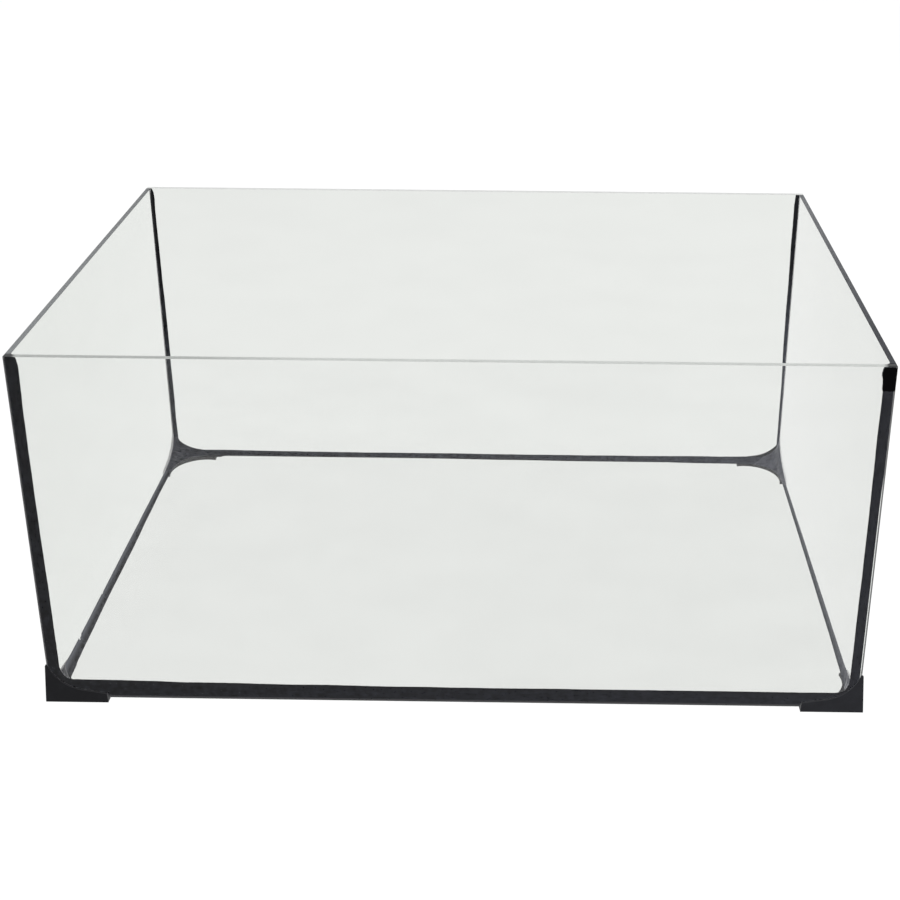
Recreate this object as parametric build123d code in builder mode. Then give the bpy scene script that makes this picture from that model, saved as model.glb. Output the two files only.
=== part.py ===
"""Rimless glass aquarium: five float-glass panes bonded with black silicone, on four corner feet.

Millimetres, +Z up. The origin is at the centre of the footprint, on the surface the feet stand on.
X runs along the width, and the front pane faces -Y.
"""

from build123d import *

import os

# Glass box: outer size, and the float glass it is cut from
WIDTH = 600.0
DEPTH = 400.0
GLASS_HEIGHT = 275.0
GLASS = 4.0
ARRIS = 0.4  # ground corner of every cut edge

# Silicone
BOND = 1.0  # gap filled between two panes
VERTICAL_BEAD = 3.2  # leg of the inside bead in the upright corners
BASE_BEAD = 4.5  # leg of the inside bead round the base pane
TOOLED = 0.42  # where the middle of a bead's face lies along each leg: 0.5 would be flat
SEAM_STOP = 1.5  # bare glass above each upright seam
BEAD_TAPER = 12.0  # height over which the upright bead fades out at its top
PATCH_REACH = {-1: (14.0, 16.0, 10.0), 1: (36.0, 30.0, 13.0)}  # smeared patch, front and rear corners
PATCH_ARM = {-1: 0.38, 1: 0.18}  # width of a patch's arms where they end, over its reach

# Corner feet: moulded plastic shells, measured from the corner of the glass they cup
FOOT_FLOOR = 2.5  # plate under the glass
FOOT_FLARE = 3.0  # how far the shell stands out at its bottom
FOOT_DRAFT = 3.8  # degrees that the outer faces lean in
FOOT_REACH = 43.5  # length of each wing along the glass
FOOT_CREST = 28.0  # height of the upright corner above the glass bottom
CREST_WIDTH = 1.0  # glass covered at the crest
KNEE = (25.0, 7.4)  # where the sweeping edge turns into the straight slope
TIP_HEIGHT = 4.4  # height of the wing's tip above the glass bottom
TIP_RADIUS = 2.2
FOOT_ROUND = 0.5  # rounding of every edge round the two outer faces
FLOOR_TIP = 7.0  # width of the floor plate under the glass at its tips
FLOOR_WAIST = 15.0  # diagonal point of the floor plate's hollow edge

# Derived places
LEFT, RIGHT = -WIDTH / 2, WIDTH / 2
FRONT, REAR = -DEPTH / 2, DEPTH / 2
BOTTOM = FOOT_FLOOR
TOP = BOTTOM + GLASS_HEIGHT
DECK = BOTTOM + GLASS  # upper face of the base pane
INSIDE_X = WIDTH / 2 - GLASS
INSIDE_Y = DEPTH / 2 - GLASS

CORNERS = {
    "front_left": (-1, -1),
    "front_right": (1, -1),
    "rear_left": (-1, 1),
    "rear_right": (1, 1),
}


def write(builder, name):
    """Labels a finished sub-part and writes its STEP file."""
    builder.part.label = name
    export_step(builder.part, f"parts/{name}.step")


def pane(low, high, name):
    """A float-glass pane between two opposite corners, with its cut edges ground."""
    size = [b - a for a, b in zip(low, high)]
    middle = ((low[0] + high[0]) / 2, (low[1] + high[1]) / 2)
    with BuildPart() as glass:
        with BuildSketch(Plane.XY.offset(low[2])):
            with Locations(middle):
                Rectangle(size[0], size[1])
        extrude(amount=size[2])
        chamfer(glass.edges(), ARRIS)
    write(glass, name)


def wall_panes():
    """Front and rear panes run the full width; the side panes stand between them."""
    side_end = INSIDE_Y - BOND
    pane((LEFT, FRONT, BOTTOM), (RIGHT, FRONT + GLASS, TOP), "front_pane")
    pane((LEFT, REAR - GLASS, BOTTOM), (RIGHT, REAR, TOP), "rear_pane")
    pane((LEFT, -side_end, BOTTOM), (LEFT + GLASS, side_end, TOP), "left_pane")
    pane((RIGHT - GLASS, -side_end, BOTTOM), (RIGHT, side_end, TOP), "right_pane")


def base_pane():
    """The base lies inside the four walls, one bond gap clear of each."""
    half_x, half_y = INSIDE_X - BOND, INSIDE_Y - BOND
    pane((-half_x, -half_y, BOTTOM), (half_x, half_y, DECK), "base_pane")


def upright_bead(side, end, height, leg):
    """Plan section of an upright inside bead; tooling leaves it slightly hollow."""
    depth = BOND + leg

    def point(x, y):
        return (side * (INSIDE_X - x), end * (INSIDE_Y - y))

    with BuildSketch(Plane.XY.offset(height)) as section:
        with BuildLine():
            Polyline(point(0, depth), point(0, 0), point(leg, 0))
            ThreePointArc(point(leg, 0), point(leg * TOOLED, depth * TOOLED), point(0, depth))
        make_face()
    return section.sketch


def upright_seam(name, side, end):
    """Bond strip down the whole corner, with a bead from the corner patch up to a faded end."""
    bead_start, taper_start = DECK + PATCH_REACH[end][2], TOP - BEAD_TAPER
    bead = upright_bead(side, end, bead_start, VERTICAL_BEAD)
    taper = [
        upright_bead(side, end, taper_start, VERTICAL_BEAD),
        upright_bead(side, end, TOP - SEAM_STOP, VERTICAL_BEAD / 4),
    ]
    with BuildPart() as seam:
        with BuildSketch(Plane.XY.offset(BOTTOM)):
            with Locations((side * (INSIDE_X + GLASS / 2), end * (INSIDE_Y - BOND / 2))):
                Rectangle(GLASS, BOND)
        extrude(amount=GLASS_HEIGHT - SEAM_STOP)
        extrude(bead, amount=taper_start - bead_start)
        loft(taper)
    write(seam, f"{name}_seam")


def base_seam(name, half_length, behind, ahead, depth, plane):
    """Bond under one edge of the base pane's rim, with a bead between the two corner patches.

    The plane's X runs inwards from the wall's inner face, its Y is up, and its normal runs along
    the wall from the seam's middle. The bead stops short by the patches' reach behind and ahead.
    """
    crown = (depth * TOOLED, GLASS + BASE_BEAD * TOOLED)
    with BuildPart() as seam:
        with BuildSketch(plane):
            with Locations((BOND / 2, GLASS / 2)):
                Rectangle(BOND, GLASS)
        extrude(amount=half_length, both=True)
        with BuildSketch(plane.offset(behind - half_length)):
            with BuildLine():
                Polyline((depth, GLASS), (0, GLASS), (0, GLASS + BASE_BEAD))
                ThreePointArc((0, GLASS + BASE_BEAD), crown, (depth, GLASS))
            make_face()
        extrude(amount=2 * half_length - behind - ahead)
    write(seam, name)


def base_seams():
    """The four seams round the base pane; the front and rear ones run past the side ones."""
    depth = BOND + BASE_BEAD
    for name, end in (("front", -1), ("rear", 1)):
        plane = Plane((0, end * INSIDE_Y, BOTTOM), x_dir=(0, -end, 0), z_dir=(-end, 0, 0))
        reach = PATCH_REACH[end][0]
        base_seam(f"{name}_base_seam", INSIDE_X, reach, reach, depth, plane)
    for name, side in (("left", -1), ("right", 1)):
        plane = Plane((side * INSIDE_X, 0, BOTTOM), x_dir=(-side, 0, 0), z_dir=(0, side, 0))
        behind, ahead = (PATCH_REACH[end][1] - BOND for end in (-side, side))
        base_seam(f"{name}_base_seam", INSIDE_Y - BOND, behind, ahead, depth, plane)


def corner_patch(name, side, end):
    """Silicone smeared into an inside bottom corner: a block hollowed by a large ellipsoid."""
    reach_x, reach_y, reach_z = PATCH_REACH[end]
    middle = (side * (INSIDE_X - reach_x / 2), end * (INSIDE_Y - reach_y / 2))
    far = (side * (INSIDE_X - reach_x), end * (INSIDE_Y - reach_y), DECK + reach_z)
    hollow_radius = (1 + (1 - PATCH_ARM[end]) ** 2) ** 0.5
    hollow = Pos(*far) * scale(Sphere(hollow_radius), by=PATCH_REACH[end])
    with BuildPart() as patch:
        with BuildSketch(Plane.XY.offset(DECK)):
            with Locations(middle):
                Rectangle(reach_x, reach_y)
        extrude(amount=reach_z)
        add(hollow, mode=Mode.SUBTRACT)
    write(patch, f"{name}_corner_patch")


def foot_wing(plane):
    """Outline of a foot's upright wing: X along the glass from its corner, Y up from its bottom."""
    with BuildSketch(plane) as wing:
        with BuildLine():
            low = Polyline(
                (-FOOT_FLARE, FOOT_CREST),
                (-FOOT_FLARE, -FOOT_FLOOR),
                (FOOT_REACH, -FOOT_FLOOR),
                (FOOT_REACH, TIP_HEIGHT),
                KNEE,
            )
            sweep_edge = TangentArc(KNEE, (CREST_WIDTH, FOOT_CREST), tangent=low % 1)
            Line(sweep_edge @ 1, low @ 0)
        make_face()
        fillet(wing.vertices().group_by(Axis.X)[-1], TIP_RADIUS)
    return wing.sketch


def floor_plate(side, end):
    """Outline of a foot's floor: square outside, hollow on the edge towards the tank's middle."""
    flare, reach = -FOOT_FLARE, FOOT_REACH

    def point(x, y):
        return (side * (WIDTH / 2 - x), end * (DEPTH / 2 - y))

    with BuildSketch() as plate:
        with BuildLine():
            Polyline(
                point(FLOOR_TIP, reach),
                point(flare, reach),
                point(flare, flare),
                point(reach, flare),
                point(reach, FLOOR_TIP),
            )
            ThreePointArc(
                point(reach, FLOOR_TIP),
                point(FLOOR_WAIST, FLOOR_WAIST),
                point(FLOOR_TIP, reach),
            )
        make_face()
    return plate.sketch


def corner_foot(name, side, end):
    """Three-sided shell: a floor plate under the glass and a swept wing up each outer face."""
    corner = (side * WIDTH / 2, end * DEPTH / 2, BOTTOM)
    along_x = Plane(corner, x_dir=(-side, 0, 0), z_dir=(0, side, 0))
    along_y = Plane(corner, x_dir=(0, -end, 0), z_dir=(-end, 0, 0))
    span = FOOT_REACH + FOOT_FLARE
    middle = (
        side * (WIDTH / 2 + FOOT_FLARE - span / 2),
        end * (DEPTH / 2 + FOOT_FLARE - span / 2),
    )
    with BuildPart() as foot:
        extrude(foot_wing(along_x), amount=FOOT_FLARE, dir=(0, end, 0))
        extrude(foot_wing(along_y), amount=FOOT_FLARE, dir=(side, 0, 0))
        extrude(floor_plate(side, end), amount=FOOT_FLOOR, dir=(0, 0, 1))
        with BuildSketch():
            with Locations(middle):
                Rectangle(span, span)
        extrude(amount=FOOT_FLOOR + FOOT_CREST, taper=FOOT_DRAFT, mode=Mode.INTERSECT)
        outer_x = foot.faces().sort_by(Axis.X)[-1 if side > 0 else 0]
        outer_y = foot.faces().sort_by(Axis.Y)[-1 if end > 0 else 0]
        fillet(outer_x.edges() + outer_y.edges(), FOOT_ROUND)
    write(foot, f"{name}_foot")


os.makedirs("parts", exist_ok=True)
wall_panes()
base_pane()
base_seams()
for corner_name, (side_sign, end_sign) in CORNERS.items():
    upright_seam(corner_name, side_sign, end_sign)
    corner_patch(corner_name, side_sign, end_sign)
    corner_foot(corner_name, side_sign, end_sign)
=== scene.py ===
"""Glass aquarium tank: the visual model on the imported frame.

The five panes and the four feet are the frame's own nodes, with new materials. The silicone is modelled
here as what it is: hand-tooled beads with feathered edges, and patches smeared into the inside corners.
Lengths are metres; numbers given in millimetres are multiplied by MM where they are used.
"""

import math

import bmesh
import bpy
import numpy as np
from mathutils import Euler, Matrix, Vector, noise

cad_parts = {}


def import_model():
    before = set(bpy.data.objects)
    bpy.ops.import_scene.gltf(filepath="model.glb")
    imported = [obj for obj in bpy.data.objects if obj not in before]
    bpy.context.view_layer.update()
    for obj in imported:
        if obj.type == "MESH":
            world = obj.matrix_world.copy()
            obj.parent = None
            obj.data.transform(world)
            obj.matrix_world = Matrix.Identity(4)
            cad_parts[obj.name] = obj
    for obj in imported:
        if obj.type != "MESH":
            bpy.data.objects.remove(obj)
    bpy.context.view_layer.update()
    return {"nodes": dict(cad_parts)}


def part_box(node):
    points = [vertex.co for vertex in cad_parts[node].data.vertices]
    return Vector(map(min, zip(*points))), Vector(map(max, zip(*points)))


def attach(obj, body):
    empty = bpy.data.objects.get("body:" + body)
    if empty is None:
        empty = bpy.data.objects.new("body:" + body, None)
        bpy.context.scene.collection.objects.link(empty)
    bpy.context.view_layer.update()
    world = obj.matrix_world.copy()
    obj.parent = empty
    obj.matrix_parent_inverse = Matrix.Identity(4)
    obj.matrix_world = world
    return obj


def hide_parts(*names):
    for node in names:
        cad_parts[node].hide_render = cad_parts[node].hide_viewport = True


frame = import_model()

MM = 0.001

# ---------------------------------------------------------------- places, from the frame

FRONT_LOW, FRONT_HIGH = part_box("front_pane")
LEFT_LOW, LEFT_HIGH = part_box("left_pane")
BASE_LOW, BASE_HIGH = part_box("base_pane")

GLASS = FRONT_HIGH.y - FRONT_LOW.y
HALF_WIDTH = FRONT_HIGH.x
INSIDE_X = -LEFT_HIGH.x  # half the clear width
INSIDE_Y = -FRONT_HIGH.y  # half the clear depth
GAP = INSIDE_Y - LEFT_HIGH.y  # silicone between a pane's edge and the wall it meets
BOTTOM, DECK, TOP = BASE_LOW.z, BASE_HIGH.z, FRONT_HIGH.z

# ---------------------------------------------------------------- silicone sizes

ARRIS = 0.4 * MM  # ground corner of the cut edges
SINK = 0.04 * MM  # silicone wets the glass, so it reaches this far into it
RIM_STOP = 0.3 * MM  # the upright seams end this far below the rim
MENISCUS = 0.35 * MM  # hollow in the outer face of a bond
HOLLOW = 1.45  # power of the tooled face's curve: 1 is flat, 2 is deeply hollow
FACE_STEPS = 10
BOND_POINTS = 5  # points of a slice that go round its bond, before those of the bead's face
FILM_DEPTH = 0.45 * MM  # silicone thinner than this starts to look grey
BASE_STEP = 1.0 * MM  # length between the slices of a base seam
UPRIGHT_STEP = 1.5 * MM
SHEEN_STRIPE = 0.9  # painted sheen: how pale the upper half of a side base seam's bead is painted
LONG_WAVES = (23, 0.16)  # pitch and size of a bead's slow variation, in millimetres
SHORT_WAVES = (3.1, 0.05)
HOLLOW_WAVES = (31, 0.14)  # pitch in millimetres and size of the variation of HOLLOW
CURVE_STEPS = 16  # points along each curve of a patch's outline
DIP_STEPS = 8  # points where its outline dips under a bead
WEB_RINGS = 14
WEB_ROUNDS = 260  # rounds of drawing the web taut
WEB_PULL = 0.22  # how far the finger presses its middle into the corner
WEB_LUMPS = ((5 * MM, 0.5 * MM), (1.6 * MM, 0.22 * MM))  # pitch and height of its unevenness

# Leg of each bead, in millimetres, as (distance along the seam, leg) pairs. An upright seam is measured
# down from the rim, the front and rear base seams from the left, and the side base seams from the front.
# The first list is the leg on the pane that runs past, the second the leg on the pane that butts on it.
UPRIGHT_LEGS = {
    "front_left": (
        ((0, 2.9), (4, 4.0), (8, 4.7), (28, 4.4), (42, 4.0), (97, 3.9), (187, 4.35), (273, 4.6)),
        ((0, 1.5), (10, 3.2), (273, 3.4)),
    ),
    "front_right": (
        ((0, 3.4), (3, 5.2), (7, 5.6), (12, 4.4), (18, 3.8), (42, 3.9), (127, 3.7), (273, 4.1)),
        ((0, 2.5), (8, 4.0), (25, 3.0), (273, 3.0)),
    ),
    "rear_left": (
        ((0, 0.5), (2, 1.6), (5, 2.4), (10, 2.7), (22, 2.3), (57, 2.6), (137, 3.3), (230, 3.7), (273, 4.1)),
        ((0, 0.5), (8, 4.0), (15, 4.3), (37, 3.6), (77, 2.4), (137, 1.3), (197, 0.9), (273, 0.9)),
    ),
    "rear_right": (
        ((0, 3.0), (6, 3.3), (10, 3.7), (38, 3.6), (107, 3.1), (137, 3.0), (200, 2.1), (273, 1.9)),
        ((0, 0.8), (12, 1.4), (60, 0.9), (273, 0.9)),
    ),
}
BASE_LEGS = {
    "front": (
        ((0, 10.0), (40, 9.9), (70, 9.3), (100, 8.7), (200, 7.8), (260, 7.2), (320, 7.0), (592, 6.8)),
        ((0, 5.0), (592, 5.0)),
    ),
    "rear": (
        ((0, 4.8), (60, 4.9), (110, 4.2), (200, 4.0), (440, 3.6), (530, 4.1), (592, 4.4)),
        (
            (0, 2.0), (45, 0.6), (110, 0.7), (260, 1.0), (320, 1.7),
            (380, 2.4), (440, 3.8), (530, 6.2), (592, 6.8),
        ),
    ),
    "left": (
        ((0, 7.5), (27, 6.8), (42, 6.0), (90, 5.6), (160, 5.0), (240, 4.4), (330, 3.6), (392, 3.2)),
        ((0, 5.0), (27, 4.7), (42, 4.0), (62, 3.6), (122, 3.1), (200, 3.2), (310, 2.6), (392, 3.4)),
    ),
    "right": (
        ((0, 7.6), (27, 7.2), (42, 6.2), (90, 5.6), (200, 4.8), (310, 3.8), (392, 3.2)),
        ((0, 3.0), (27, 2.4), (42, 1.7), (90, 1.3), (200, 1.0), (392, 0.8)),
    ),
}
BOND_SETBACK = {  # how far the bond's outer end lies inside the pane's outer face, along the seam
    "front_right": ((0, 0.0), (60, 0.0), (110, 0.9), (273, 0.9)),
    "rear": ((0, 0.0), (43, 0.0), (50, 2.3), (230, 2.1), (330, 0.9), (400, 0.0), (592, 0.0)),
}
NICKS = {  # short breaks in a bead's upper edge: (distance along it, half length, share of the leg lost)
    "left": ((62, 1.1, 0.75), (65, 0.7, 0.45), (128, 0.8, 0.35)),
    "rear": ((571, 1.2, 0.3),),
}

# Smeared corner patches, in millimetres: three curves, each with its start, two handles and its end.
# On the front or rear wall (across, up), from the base seam to the upright. On the side wall (inwards, up),
# from the upright to the side seam. On the floor (across, inwards), from the side seam to the front or rear.
PATCHES = {
    "front_left": (
        (14, (9, 10.5), (5.5, 13), 21),
        (18, (6, 10), (13, 7), 25),
        (15, (6.6, 9), (8, 7), 12),
    ),
    "front_right": (
        (14, (8, 7.4), (5, 10), 17),
        (17, (5, 10), (12, 7), 26),
        (17, (3.6, 9), (7, 6.6), 14),
    ),
    "rear_left": (
        (27, (17, 6), (4, 11.5), 18),
        (19, (8, 8), (22, 5.5), 44),
        (36, (6.5, 13), (12, 6.5), 33),
    ),
    "rear_right": (
        (14, (9, 6), (5, 10), 13.5),
        (24, (13, 13), (28, 7), 60),
        (46, (3, 21), (8, 14), 24),
    ),
}

# Outline of the sealant spilt over the front pane's outer face, in millimetres from its right end and
# down from its rim, and the blob's rings as (share drawn in to its middle, depth into the glass).
SPILL = (
    (0.2, 1.0), (7.4, 0.9), (9.0, 2.0), (9.7, 4.4), (9.6, 8.0),
    (9.2, 12.5), (9.2, 16.6), (8.7, 18.0), (4.2, 18.4), (0.3, 18.1),
)
SPILL_RINGS = ((0.0, SINK), (0.0, -0.1 * MM), (0.12, -0.35 * MM))

CORNERS = {"front_left": (-1, -1), "front_right": (1, -1), "rear_left": (-1, 1), "rear_right": (1, 1)}


# ---------------------------------------------------------------- materials

def add_node(tree, kind, settings=None, **inputs):
    """A node of the given type, with its own settings and its inputs' values."""
    node = tree.nodes.new(kind)
    for key, value in (settings or {}).items():
        setattr(node, key, value)
    for key, value in inputs.items():
        socket = node.inputs[key.replace("_", " ")]
        if isinstance(value, bpy.types.NodeSocket):
            tree.links.new(value, socket)
        else:
            socket.default_value = value
    return node


def new_material(name, **inputs):
    """A node material holding a Principled shader; returns it with its tree and shader."""
    material = bpy.data.materials.new(name)
    material.use_nodes = True
    tree = material.node_tree
    tree.nodes.clear()
    shader = add_node(tree, "ShaderNodeBsdfPrincipled", **inputs)
    add_node(tree, "ShaderNodeOutputMaterial", Surface=shader.outputs["BSDF"])
    return material, tree, shader


def place_of(tree):
    """The object's own coordinates in metres."""
    return add_node(tree, "ShaderNodeTexCoord").outputs["Object"]


def noise_of(tree, vector, scale, detail=3.0, roughness=0.5, stretch=(1, 1, 1)):
    """Noise from 0 to 1 over a vector, with its own stretch along each axis."""
    mapping = add_node(tree, "ShaderNodeMapping", Vector=vector, Scale=stretch)
    settings = {"Scale": scale, "Detail": detail, "Roughness": roughness}
    return add_node(tree, "ShaderNodeTexNoise", Vector=mapping.outputs[0], **settings).outputs["Fac"]


def remap(tree, value, low, high, new_low, new_high):
    """A value carried from one range to another, and held at its ends."""
    node = add_node(tree, "ShaderNodeMapRange", Value=value)
    for key, number in (("From Min", low), ("From Max", high), ("To Min", new_low), ("To Max", new_high)):
        node.inputs[key].default_value = number
    return node.outputs["Result"]


def calc(tree, operation, first, second):
    """Two values joined by a Math node."""
    node = add_node(tree, "ShaderNodeMath", {"operation": operation})
    for socket, value in zip(node.inputs, (first, second)):
        if isinstance(value, bpy.types.NodeSocket):
            tree.links.new(value, socket)
        else:
            socket.default_value = value
    return node.outputs[0]


def blend(tree, factor, first, second):
    """Two colours mixed by a factor; each is a socket or three numbers."""
    node = add_node(tree, "ShaderNodeMix", {"data_type": "RGBA"})
    tree.links.new(factor, node.inputs["Factor"])
    for socket, value in ((node.inputs[6], first), (node.inputs[7], second)):
        if isinstance(value, bpy.types.NodeSocket):
            tree.links.new(value, socket)
        else:
            socket.default_value = (*value, 1)
    return node.outputs[2]


def attribute(tree, name):
    return add_node(tree, "ShaderNodeAttribute", {"attribute_name": name}).outputs["Fac"]


def bump(tree, shader, height, strength, distance):
    node = add_node(tree, "ShaderNodeBump", Strength=strength, Distance=distance, Height=height)
    tree.links.new(node.outputs["Normal"], shader.inputs["Normal"])


def glass_material(name, tint, ior, edge, edge_rear):
    """Float glass with faint wipe marks, and cut edges ground to a satin grey.

    tint is what passes through the pane, edge the painted tone of its ground edge, and edge_rear the painted
    tone that the edge turns to towards the back of the tank: both are painted light and shade, set per pane
    for the light that the glass carries to its edge and how it falls. Sealant darkens the edges it touches,
    and painted shade darkens the front pane's rim towards its left end.
    """
    material, tree, shader = new_material(name, Transmission_Weight=1.0, IOR=ior)
    place = place_of(tree)
    axes = add_node(tree, "ShaderNodeSeparateXYZ", Vector=place).outputs

    rim = remap(tree, axes["Z"], TOP - CUT, TOP - CUT + CUT_BLUR, 0, 1)
    across = calc(tree, "ABSOLUTE", axes["X"], 0)
    end = remap(tree, across, HALF_WIDTH - CUT, HALF_WIDTH - CUT + CUT_BLUR, 0, 1)
    sole = remap(tree, axes["Z"], BOTTOM + CUT - CUT_BLUR, BOTTOM + CUT, 1, 0)
    ground = calc(tree, "MAXIMUM", rim, end) if name in ("front_glass", "rear_glass") else rim
    if name == "front_glass":
        ground = calc(tree, "MAXIMUM", ground, sole)

    near_end = remap(tree, across, HALF_WIDTH - SEAL_START, HALF_WIDTH - SEAL_FULL, 0, 1)
    near_front = remap(tree, axes["Y"], -INSIDE_Y - 1 * MM, -INSIDE_Y + 2 * MM, SEAL_SHARE, 0)
    sealant_and_shade = calc(tree, "MULTIPLY", near_end, near_front)
    if name == "front_glass":
        left_end = remap(tree, axes["X"], -HALF_WIDTH + CUT, -HALF_WIDTH + CUT - CUT_BLUR, 0, 1)
        # painted shade: the front pane's rim is darkened towards its left end, where no sealant is
        left_rim_shade = remap(tree, axes["X"], -170 * MM, -100 * MM, 0.3, 0)
        for part in (sole, left_end, left_rim_shade):
            sealant_and_shade = calc(tree, "MAXIMUM", sealant_and_shade, part)
    free_of_sealant_and_shade = remap(tree, sealant_and_shade, 0, 1, 1, 0)

    wipes = noise_of(tree, place, 14, detail=5, roughness=0.6, stretch=(1, 1, 3.2))
    body = blend(tree, remap(tree, wipes, 0.35, 0.75, 0, 1), tint, [WIPED * channel for channel in tint])
    chips = noise_of(tree, place, 900, detail=4)
    chipped = remap(tree, chips, 0.4, 0.62, 0, 0.35)
    # painted light and shade: the ground edge's tone shifts from the front of the tank to the back
    rearward = remap(tree, axes["Y"], -150 * MM, 190 * MM, 0, 1)
    satin = blend(tree, rearward, edge, edge_rear)
    wear_and_painted_light = blend(tree, chipped, satin, [CHIP_SHADE * channel for channel in edge])
    wear_and_painted_light = blend(tree, sealant_and_shade, wear_and_painted_light, SEALANT_AND_SHADE_EDGE)
    tree.links.new(blend(tree, ground, body, wear_and_painted_light), shader.inputs["Base Color"])

    seen_through = calc(tree, "MULTIPLY", calc(tree, "MULTIPLY", free_of_sealant_and_shade, SATIN_CLEAR), ground)
    weight = calc(tree, "ADD", remap(tree, ground, 0, 1, 1, 0), seen_through)
    tree.links.new(weight, shader.inputs["Transmission Weight"])
    tree.links.new(remap(tree, ground, 0, 1, 0, 0.5), shader.inputs["Roughness"])
    bump(tree, shader, calc(tree, "MULTIPLY", chips, ground), 0.3, 0.2 * MM)
    return material


def silicone_material(name, body, pale, film, mirror, at_rim=0.15):
    """Black sealant, greyer where it thins out to a film, and where it catches the light.

    body is its colour, pale what that turns to along streaks, and towards the right of the tank as painted
    light, and film the colour of a thin smear of it. Both are painted as a veil of the front pane's
    reflection below its rim, and at_rim is the share of the last two that is left near the rim. The upper
    part of a side base seam's bead is painted pale, a painted sheen.
    """
    material, tree, shader = new_material(name, Specular_IOR_Level=mirror, IOR=1.5)
    place = place_of(tree)
    axes = add_node(tree, "ShaderNodeSeparateXYZ", Vector=place).outputs
    run = add_node(tree, "ShaderNodeCombineXYZ", X=attribute(tree, "along"), Y=attribute(tree, "across"))
    streaks = noise_of(tree, run.outputs[0], 1.0, detail=4, roughness=0.6, stretch=(70, 1500, 1))
    clouds = noise_of(tree, place, 210, detail=5, roughness=0.62)
    # painted light: paler towards the right of the tank, where the light comes from
    lit_from_right = remap(tree, axes["X"], -HALF_WIDTH, HALF_WIDTH, 0.1, 0.6)
    # painted reflection: paler and greyer below the front pane's rim, a veil of the front pane's reflection
    veil_below_rim = remap(tree, axes["Z"], TOP - 150 * MM, TOP - 70 * MM, 1, at_rim)
    mottle = remap(tree, calc(tree, "ADD", streaks, clouds), 0.75, 1.3, -0.25, 0.5)
    mottle_and_painted_light = calc(tree, "MULTIPLY", calc(tree, "ADD", lit_from_right, mottle), veil_below_rim)
    # painted sheen: the pale stripe up a side base seam's bead
    mottle_and_painted_light = calc(tree, "MAXIMUM", mottle_and_painted_light, attribute(tree, "sheen_stripe"))
    thin = calc(tree, "MULTIPLY", attribute(tree, "film"), remap(tree, clouds, 0.38, 0.62, 0.25, 1))
    thin = calc(tree, "MULTIPLY", thin, veil_below_rim)
    colour = blend(tree, thin, blend(tree, mottle_and_painted_light, body, pale), film)
    tree.links.new(colour, shader.inputs["Base Color"])
    tree.links.new(remap(tree, streaks, 0.3, 0.7, 0.22, 0.45), shader.inputs["Roughness"])
    bump(tree, shader, calc(tree, "ADD", streaks, clouds), 0.35, 0.2 * MM)
    return material


def foot_material():
    """Moulded black plastic with a fine satin grain and patches of greyer tone, with painted light making it
    greyer towards the right of the tank.
    """
    material, tree, shader = new_material("foot_plastic", Specular_IOR_Level=0.14, IOR=1.5)
    place = place_of(tree)
    grain = noise_of(tree, place, 2600, detail=2)
    clouds = noise_of(tree, place, 90, detail=5, roughness=0.6)
    axes = add_node(tree, "ShaderNodeSeparateXYZ", Vector=place).outputs
    # painted light: greyer towards the right of the tank, where the light comes from
    lit_from_right = remap(tree, axes["X"], -300 * MM, 300 * MM, -0.2, 0.65)
    wear_and_painted_light = calc(tree, "ADD", remap(tree, clouds, 0.35, 0.65, 0, 0.35), lit_from_right)
    body = blend(tree, wear_and_painted_light, (0.002, 0.0021, 0.0034), (0.013, 0.0138, 0.0175))
    specks = remap(tree, grain, 0.66, 0.74, 0, 0.35)
    tree.links.new(blend(tree, specks, body, (0.035, 0.036, 0.042)), shader.inputs["Base Color"])
    tree.links.new(remap(tree, grain, 0.3, 0.7, 0.36, 0.52), shader.inputs["Roughness"])
    bump(tree, shader, grain, 0.25, 0.1 * MM)
    return material


CUT = 0.45 * MM  # how far in from a cut edge the grinding reaches
CUT_BLUR = 0.1 * CUT
SATIN_CLEAR = 0.12  # share of light that still passes through a ground edge
WIPED = 0.975  # shade of the glass where it was wiped
CHIP_SHADE = 0.5  # shade of the chips in a ground edge
SEALANT_AND_SHADE_EDGE = (0.008, 0.0085, 0.011)  # a ground edge with sealant behind it, and the painted shade on the left part of the front pane's rim
SEAL_START, SEAL_FULL = 9 * MM, 6 * MM  # where it starts and is whole, from the ends of the front pane
SEAL_SHARE = 0.95

# Each pane's tint, index of refraction, and ground edge at the front and at the rear of the tank. The panes
# are one
# glass: its own grey-green tint, with painted shade in how much the tint differs from pane to pane, and edge
# colours that are painted light and shade.
PANE_LOOKS = {
    "front": ((0.984, 0.985, 0.985), 1.26, (0.58, 0.6, 0.58), (0.58, 0.6, 0.58)),
    "rear": ((0.77, 0.786, 0.763), 1.33, (0.68, 0.69, 0.68), (0.68, 0.69, 0.68)),
    "left": ((0.7, 0.722, 0.692), 1.25, (0.18, 0.19, 0.195), (0.14, 0.145, 0.15)),
    "right": ((0.643, 0.663, 0.636), 1.25, (0.012, 0.014, 0.02), (0.13, 0.135, 0.145)),
    "base": ((0.745, 0.76, 0.738), 1.15, (0.3, 0.32, 0.3), (0.3, 0.32, 0.3)),
}
PANE_GLASS = {f"{side}_pane": glass_material(f"{side}_glass", *look) for side, look in PANE_LOOKS.items()}
FOOT_PLASTIC = foot_material()
SILICONE = silicone_material(
    "black_silicone",
    body=(0.001, 0.0012, 0.0018),
    pale=(0.075, 0.08, 0.093),
    film=(0.04, 0.043, 0.05),
    mirror=0.05,
)
SMEAR = silicone_material(
    "smeared_silicone",
    body=(0.012, 0.0128, 0.016),
    pale=(0.1, 0.104, 0.12),
    film=(0.12, 0.125, 0.14),
    mirror=0.08,
)
BONDED = silicone_material(  # seen through the glass it wets
    "bonded_silicone",
    body=(0.0005, 0.0006, 0.0012),
    pale=(0.02, 0.0215, 0.028),
    film=(0.01, 0.01, 0.012),
    mirror=0.0,
    at_rim=0.9,
)
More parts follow.
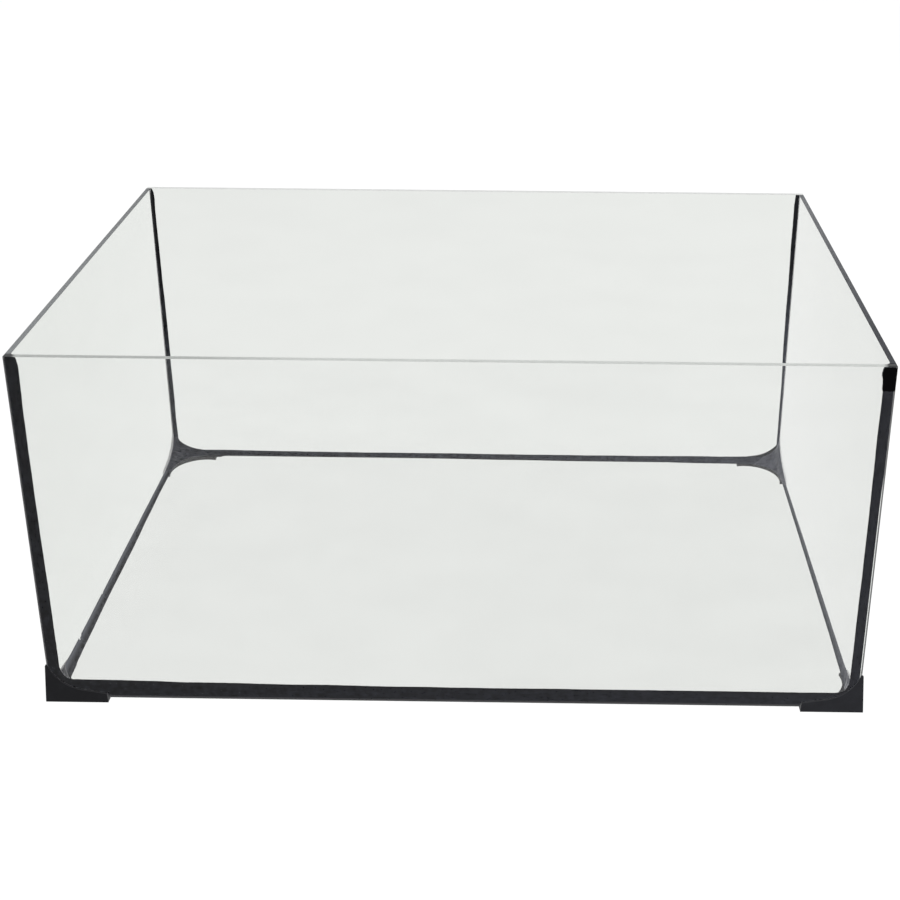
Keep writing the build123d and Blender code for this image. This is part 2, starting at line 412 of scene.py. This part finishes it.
SPILT = silicone_material(
    "glossy_silicone",
    body=(0.001, 0.001, 0.0013),
    pale=(0.006, 0.006, 0.007),
    film=(0.004, 0.004, 0.005),
    mirror=0.02,
)
OPEN_FACE, BOND_FACE, SPILT_FACE = 0, 1, 2  # a piece's materials


# ---------------------------------------------------------------- silicone

def through(knots, place):
    """A value at a place, eased between (place, value) pairs."""
    if place <= knots[0][0]:
        return knots[0][1]
    for (start, first), (stop, second) in zip(knots, knots[1:]):
        if place <= stop:
            t = (place - start) / (stop - start)
            return first + (second - first) * t * t * (3 - 2 * t)
    return knots[-1][1]


def wander(place, seed, pitch, size):
    """Smooth variation of about +-size along a seam, with waves about a pitch long."""
    return 1.6 * size * noise.noise(Vector((place / pitch, seed * 7.31, 0.5)))


def film_at(gap):
    """1 where a silicone surface lies on the glass, falling to 0 where it stands clear of it."""
    return 1 - min(1.0, max(0.0, gap) / FILM_DEPTH)


class Seam:
    """One seam: where a pane's edge butts on a wall, with a tooled bead in the inside corner.

    A slice has two distances: p from the wall's face, and q from the butting pane's inner face. The bond
    fills p from 0 to GAP over the pane's thickness, and the bead covers a leg of the wall and of the pane.
    """

    def __init__(self, place, length, legs, seed, setback=((0, 0),), nicks=(), sheen_stripe=0.0):
        origin, along, from_wall, from_deck = place
        self.origin, self.along = Vector(origin), Vector(along)
        self.from_wall, self.from_deck = Vector(from_wall), Vector(from_deck)
        self.length, self.legs, self.seed = length, legs, seed
        self.setback, self.nicks, self.sheen_stripe = setback, nicks, sheen_stripe

    def leg(self, which, place):
        """Reach of the bead's face over the wall (0) or over the butting pane (1)."""
        at = place / MM
        seed = self.seed + 0.37 * which
        value = through(self.legs[which], at)
        value += min(1.0, value / 3) * (wander(at, seed, *LONG_WAVES) + wander(at, seed + 5, *SHORT_WAVES))
        for middle, half, loss in self.nicks if which == 0 else ():
            value *= 1 - loss * math.exp(-(((at - middle) / half) ** 4))
        return max(0.15, value) * MM

    def face(self, place, steps=FACE_STEPS):
        """The bead's open face at a place, as (p, q) from the butting pane to the wall."""
        deck, wall = GAP + self.leg(1, place), self.leg(0, place)
        bend = HOLLOW + wander(place / MM, self.seed + 9, *HOLLOW_WAVES)
        points = []
        for i in range(steps + 1):
            t = i / steps
            points.append((-SINK + (deck + SINK) * (1 - t) ** bend, -SINK + (wall + SINK) * t**bend))
        return points

    def slice(self, place):
        """The whole slice, round the loop from the wall at the bond's outer end."""
        outer = through(self.setback, place / MM) * MM - GLASS
        face = self.face(place)
        arris = min(ARRIS, (face[0][0] - GAP) * 0.8)
        bond = [(-SINK, outer), (GAP / 2, outer + MENISCUS), (GAP + SINK, outer)]
        bond += [(GAP + SINK, -arris), (GAP + arris + SINK, -SINK)]
        return bond + face + [(-SINK, face[-1][1] / 2)]

    def point(self, place, p, q):
        return self.origin + self.along * place + self.from_wall * p + self.from_deck * q


def keep_light_off(piece):
    """Keeps a piece out of shadows, soft light and the panes' mirror images, which studio light drowns."""
    piece.visible_shadow = False
    piece.visible_diffuse = False
    piece.visible_glossy = False


def silicone_piece(name, points, faces, kinds, marks, look, nodes):
    """A closed silicone mesh that rides on the tank and stands for its CAD node.

    kinds says which material each face has, and marks holds the values that the materials read at each point.
    """
    mesh = bpy.data.meshes.new(name)
    mesh.from_pydata(points, [], faces)
    for key, values in marks.items():
        mesh.attributes.new(key, "FLOAT", "POINT").data.foreach_set("value", values)
    for material in (look, BONDED, SPILT):
        mesh.materials.append(material)
    mesh.polygons.foreach_set("material_index", kinds)
    shape = bmesh.new()
    shape.from_mesh(mesh)
    bmesh.ops.triangulate(shape, faces=[face for face in shape.faces if len(face.verts) > 4])
    bmesh.ops.recalc_face_normals(shape, faces=shape.faces)
    shape.to_mesh(mesh)
    shape.free()
    mesh.shade_smooth()
    mesh.set_sharp_from_angle(angle=math.radians(50))
    piece = bpy.data.objects.new(name, mesh)
    bpy.context.scene.collection.objects.link(piece)
    keep_light_off(piece)
    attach(piece, "root")
    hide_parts(*nodes)


def spill_shell(first):
    """A thin closed blob of sealant on the front pane, with its points numbered from first."""
    outline = np.array(SPILL)
    points = []
    for inset, rise in SPILL_RINGS:
        for across, down in outline * (1 - inset) + outline.mean(axis=0) * inset:
            points.append(Vector((HALF_WIDTH - across * MM, FRONT_LOW.y + rise, TOP - down * MM)))
    count = len(outline)
    faces = [tuple(range(first, first + count)), tuple(range(first + 2 * count, first + 3 * count))]
    for ring in (first, first + count):
        for i in range(count):
            j = (i + 1) % count
            faces.append((ring + i, ring + j, ring + count + j, ring + count + i))
    return points, faces


def build_seam(name, seam, start, stop, step, spilt=False):
    """Sweeps a seam's slice along it and closes both ends."""
    count = round((stop - start) / step)
    places = [start + (stop - start) * i / count for i in range(count + 1)]
    points = []
    marks = {"film": [], "along": [], "across": [], "sheen_stripe": []}
    for place in places:
        loop = seam.slice(place)
        for j, (p, q) in enumerate(loop):
            on_face = BOND_POINTS <= j <= BOND_POINTS + FACE_STEPS
            upper = max(0.0, (j - BOND_POINTS - 3) / 4)
            points.append(seam.point(place, p, q))
            marks["film"].append(film_at(min(p, q)) if on_face else 0.0)
            marks["along"].append(place + seam.seed)
            marks["across"].append(p + 1.7 * q)
            # painted sheen along the upper part of the bead's face, on the side base seams
            marks["sheen_stripe"].append(seam.sheen_stripe * upper if on_face else 0.0)
    ring = len(points) // len(places)
    open_sides = {0, 1} | set(range(BOND_POINTS, BOND_POINTS + FACE_STEPS))
    faces, kinds = [], []
    for i in range(count):
        for j in range(ring):
            k = (j + 1) % ring
            faces.append((i * ring + j, i * ring + k, (i + 1) * ring + k, (i + 1) * ring + j))
            kinds.append(OPEN_FACE if j in open_sides else BOND_FACE)
    for first in (0, count * ring):
        faces.append(tuple(range(first, first + ring)))
        kinds.append(OPEN_FACE)
    if spilt:
        shell_points, shell_faces = spill_shell(len(points))
        points += shell_points
        faces += shell_faces
        kinds += [SPILT_FACE] * len(shell_faces)
        for values in marks.values():
            values += [0.0] * len(shell_points)
    silicone_piece(name + "_silicone", points, faces, kinds, marks, SILICONE, [name])


def bezier(start, first, second, stop, count):
    """Points on a cubic curve, the last one left out."""
    points = []
    for i in range(count):
        t = i / count
        weights = ((1 - t) ** 3, 3 * t * (1 - t) ** 2, 3 * t * t * (1 - t), t**3)
        corners = (start, first, second, stop)
        points.append(tuple(sum(w * c[k] for w, c in zip(weights, corners)) for k in (0, 1)))
    return points


def patch_outline(upright, cross, side, curves, to_cross, to_side):
    """The patch's edge in corner coordinates (across, inwards, up), as six lists of points.

    It runs over the glass in three curves, and dips under each bead between them.
    """
    wall, flank, floor = curves
    sunk = 0.05 * MM

    def up(height):
        return TOP - DECK - height

    def over(curve, start, stop):
        """The curve between its fixed ends, bent by its two handles."""
        handles = [tuple(c * MM for c in handle) for handle in curve[1:3]]
        return bezier(start, *handles, stop, CURVE_STEPS)

    def dip(seam, place, t):
        """A point on a bead's face, just under its surface, t of the way from wall to butting pane."""
        p, q = seam.face(place, DIP_STEPS)[round((1 - t) * DIP_STEPS)]
        return max(-SINK, p - sunk), max(-SINK, q - sunk)

    wall_start = (wall[0] * MM, cross.leg(0, to_cross(wall[0] * MM)))
    wall_stop = (upright.leg(0, up(wall[3] * MM)), wall[3] * MM)
    flank_start = (GAP + upright.leg(1, up(flank[0] * MM)), flank[0] * MM)
    flank_stop = (flank[3] * MM, side.leg(0, to_side(flank[3] * MM)))
    floor_start = (GAP + side.leg(1, to_side(floor[0] * MM)), floor[0] * MM)
    floor_stop = (floor[3] * MM, GAP + cross.leg(1, to_cross(floor[3] * MM)))

    edges = [[(a, -SINK, b) for a, b in over(wall, wall_start, wall_stop)], []]
    shares = [i / DIP_STEPS for i in range(DIP_STEPS)]
    for t in shares:
        height = (wall[3] + (flank[0] - wall[3]) * t) * MM
        p, q = dip(upright, up(height), t)
        edges[-1].append((q, p, height))
    edges += [[(-SINK, a, b) for a, b in over(flank, flank_start, flank_stop)], []]
    for t in shares:
        inwards = (flank[3] + (floor[0] - flank[3]) * t) * MM
        p, q = dip(side, to_side(inwards), t)
        edges[-1].append((p, inwards, q))
    edges += [[(a, b, -SINK) for a, b in over(floor, floor_start, floor_stop)], []]
    for t in shares:
        across = (floor[3] + (wall[0] - floor[3]) * t) * MM
        p, q = dip(cross, to_cross(across), 1 - t)
        edges[-1].append((across, p, q))
    return edges


def relax(rings, rounds):
    """Draws a web of rings taut between its fixed edge and its free middle."""
    for _ in range(rounds):
        inner = np.concatenate([rings[2:], np.broadcast_to(rings[-1].mean(axis=0), rings[:1].shape)])
        around = np.roll(rings, 1, axis=1)[1:] + np.roll(rings, -1, axis=1)[1:]
        rings[1:] = (rings[:-1] + inner + 0.5 * around) / 3
    return rings


def web_points(outline, seed):
    """The web's points, ring by ring from its outline to its middle: smooth, then lumpy."""
    shares = (np.arange(WEB_RINGS) / WEB_RINGS).reshape(-1, 1, 1)
    rings = relax(outline * (1 - shares) + outline.mean(axis=0) * shares, WEB_ROUNDS)
    rings = rings * (1 - WEB_PULL * np.sin(0.5 * np.pi * shares) ** 1.5)
    smooth = [tuple(point) for ring in rings for point in ring] + [tuple(rings[-1].mean(axis=0))]
    (long_pitch, long_lump), (short_pitch, short_lump) = WEB_LUMPS
    lumpy = []
    for index, point in enumerate(smooth):
        level = min(index // len(outline), WEB_RINGS) / WEB_RINGS
        spot = Vector(point)
        lift = long_lump * noise.noise(spot / long_pitch + Vector((seed, 0, 0)))
        lift += short_lump * noise.noise(spot / short_pitch + Vector((0, seed, 0)))
        lumpy.append(spot + Vector((1, 1, 1)) * lift * min(1.0, 3 * level))
    return smooth, lumpy


def web_faces(count):
    """Faces between the web's rings, each of count points, and round its middle point."""
    faces = []
    for r in range(WEB_RINGS - 1):
        for i in range(count):
            j = (i + 1) % count
            faces.append((r * count + i, r * count + j, (r + 1) * count + j, (r + 1) * count + i))
    middle, last = WEB_RINGS * count, (WEB_RINGS - 1) * count
    return faces + [(last + i, last + (i + 1) % count, middle) for i in range(count)]


def build_patch(name, seams, curves, corner, seed):
    """A web of silicone smeared over an inside corner, closed against the three panes."""
    side_sign, end_sign = corner
    upright, cross, side = seams

    def to_cross(across):
        return across if side_sign < 0 else cross.length - across

    def to_side(inwards):
        return inwards if end_sign < 0 else side.length - inwards

    def world(point):
        across, inwards, up = point
        return Vector((side_sign * (INSIDE_X - across), end_sign * (INSIDE_Y - inwards), DECK + up))

    edges = patch_outline(upright, cross, side, curves, to_cross, to_side)
    outline = np.array([point for edge in edges for point in edge])
    smooth, points = web_points(outline, seed)
    faces = web_faces(len(outline))
    kinds = [OPEN_FACE] * len(faces)
    marks = {
        "film": [film_at(min(point) * 0.6) for point in smooth],
        "along": [0.4 * point[0] + seed for point in smooth],
        "across": [0.25 * (point[1] - point[2]) for point in smooth],
        "sheen_stripe": [0.0] * len(smooth),
    }

    root = len(points)
    upright_foot, side_foot, cross_foot = root + 1, root + 2, root + 3
    wall, flank, floor = curves
    hidden = [Vector((-SINK, -SINK, -SINK)), Vector((-SINK, -SINK, wall[3] * MM))]
    hidden += [Vector((-SINK, flank[3] * MM, -SINK)), Vector((floor[3] * MM, -SINK, -SINK))]
    points += hidden
    for values in marks.values():
        values += [0.0] * len(hidden)
    starts = np.cumsum([0] + [len(edge) for edge in edges])
    on_glass = {0: (cross_foot, upright_foot), 2: (upright_foot, side_foot), 4: (side_foot, cross_foot)}
    under_bead = {1: upright_foot, 3: side_foot, 5: cross_foot}
    for k in range(len(edges)):
        rim = [i % len(outline) for i in range(starts[k], starts[k + 1] + 1)]
        hub = under_bead.get(k, root)
        faces += [(hub, a, b) for a, b in zip(rim, rim[1:])]
        kinds += [BOND_FACE if k in on_glass else OPEN_FACE] * (len(rim) - 1)
        if k in on_glass:
            first, second = on_glass[k]
            faces += [(root, first, rim[0]), (root, rim[-1], second)]
            kinds += [BOND_FACE, BOND_FACE]
    points = [world(point) for point in points]
    silicone_piece(name + "_silicone", points, faces, kinds, marks, SMEAR, [name])


def build_silicone():
    """All seams, then in each corner the upright seam and the patch over the three seams that meet there."""
    seeds = iter(range(1, 20))
    unbroken = ((0, 0),)
    bases = {}
    for name, end in (("front", -1), ("rear", 1)):
        place = ((-INSIDE_X, end * INSIDE_Y, DECK), (1, 0, 0), (0, -end, 0), (0, 0, 1))
        marks = {"setback": BOND_SETBACK.get(name, unbroken), "nicks": NICKS.get(name, ())}
        bases[name] = Seam(place, 2 * INSIDE_X, BASE_LEGS[name], next(seeds), **marks)
    for name, side in (("left", -1), ("right", 1)):
        place = ((side * INSIDE_X, -INSIDE_Y, DECK), (0, 1, 0), (-side, 0, 0), (0, 0, 1))
        marks = {"nicks": NICKS.get(name, ()), "sheen_stripe": SHEEN_STRIPE}
        bases[name] = Seam(place, 2 * INSIDE_Y, BASE_LEGS[name], next(seeds), **marks)
    for name, seam in bases.items():
        inset = GAP / 2 if name in ("left", "right") else 0.0
        build_seam(f"{name}_base_seam", seam, inset, seam.length - inset, BASE_STEP)
    for name, (side, end) in CORNERS.items():
        place = ((side * INSIDE_X, end * INSIDE_Y, TOP), (0, 0, -1), (0, -end, 0), (-side, 0, 0))
        setback = BOND_SETBACK.get(name, unbroken)
        upright = Seam(place, TOP - DECK, UPRIGHT_LEGS[name], next(seeds), setback)
        spilt = name == "front_right"
        build_seam(f"{name}_seam", upright, RIM_STOP, TOP - BOTTOM - RIM_STOP, UPRIGHT_STEP, spilt)
        seams = (upright, bases["front" if end < 0 else "rear"], bases["left" if side < 0 else "right"])
        build_patch(f"{name}_corner_patch", seams, PATCHES[name], (side, end), next(seeds))


def dress_frame():
    """Gives the panes and feet their materials, and keeps them out of shadows and soft light."""
    for name, node in frame["nodes"].items():
        look = FOOT_PLASTIC if name.endswith("_foot") else PANE_GLASS.get(name)
        if look is not None:
            node.data.materials.clear()
            node.data.materials.append(look)
            keep_light_off(node)


# ---------------------------------------------------------------- stage

FLOOR_REACH = 12.0
FLOOR_GREY = (0.95, 0.95, 0.95)
ROOM_STRENGTH = 1.06
SOFT_BOXES = {"key_light": (-1.0, -1.1, 1.7), "back_light": (0.9, 1.3, 1.6)}
SOFT_BOX_SIZE = 0.3
SOFT_BOX_POWER = 1.8
SOFT_BOX_AIM = (0, 0, 0.1)
CAMERA_PLACE = (0.0588, -1.1170, 0.6691)
CAMERA_TURN = (66.578, -0.384, 0.751)  # degrees
CAMERA_LENS = 59.65
CAMERA_SHIFT = (-0.0808, -0.0889)


def build_floor():
    """A plain pale floor, far larger than the view."""
    mesh = bpy.data.meshes.new("floor")
    corners = [(x * FLOOR_REACH, y * FLOOR_REACH, 0) for x, y in ((-1, -1), (1, -1), (1, 1), (-1, 1))]
    mesh.from_pydata(corners, [], [(0, 1, 2, 3)])
    floor = bpy.data.objects.new("floor", mesh)
    bpy.context.scene.collection.objects.link(floor)
    pale = {"Base_Color": (*FLOOR_GREY, 1), "Roughness": 0.9, "Specular_IOR_Level": 0.0}
    mesh.materials.append(new_material("pale_floor", **pale)[0])


def soft_box(name, place):
    """A square area light aimed at the tank."""
    data = bpy.data.lights.new(name, "AREA")
    data.size = SOFT_BOX_SIZE
    data.energy = SOFT_BOX_POWER
    light = bpy.data.objects.new(name, data)
    light.location = place
    light.rotation_euler = (Vector(SOFT_BOX_AIM) - Vector(place)).to_track_quat("-Z", "Y").to_euler()
    bpy.context.scene.collection.objects.link(light)


def build_light():
    """Even white surroundings, with two soft boxes for glints on the silicone and the feet."""
    world = bpy.data.worlds.new("studio")
    bpy.context.scene.world = world
    world.use_nodes = True
    background = world.node_tree.nodes["Background"]
    background.inputs["Color"].default_value = (1, 1, 1, 1)
    background.inputs["Strength"].default_value = ROOM_STRENGTH
    for name, place in SOFT_BOXES.items():
        soft_box(name, place)


def build_camera():
    """In front of the tank and above it, a little right of its middle."""
    data = bpy.data.cameras.new("camera")
    data.sensor_width = 36.0
    data.lens = CAMERA_LENS
    data.shift_x, data.shift_y = CAMERA_SHIFT
    camera = bpy.data.objects.new("camera", data)
    camera.location = CAMERA_PLACE
    camera.rotation_euler = Euler([math.radians(angle) for angle in CAMERA_TURN])
    bpy.context.scene.collection.objects.link(camera)
    bpy.context.scene.camera = camera


dress_frame()
build_silicone()
build_floor()
build_light()
build_camera()
bpy.context.scene.view_settings.view_transform = "Standard"
bpy.context.scene.cycles.use_denoising = True
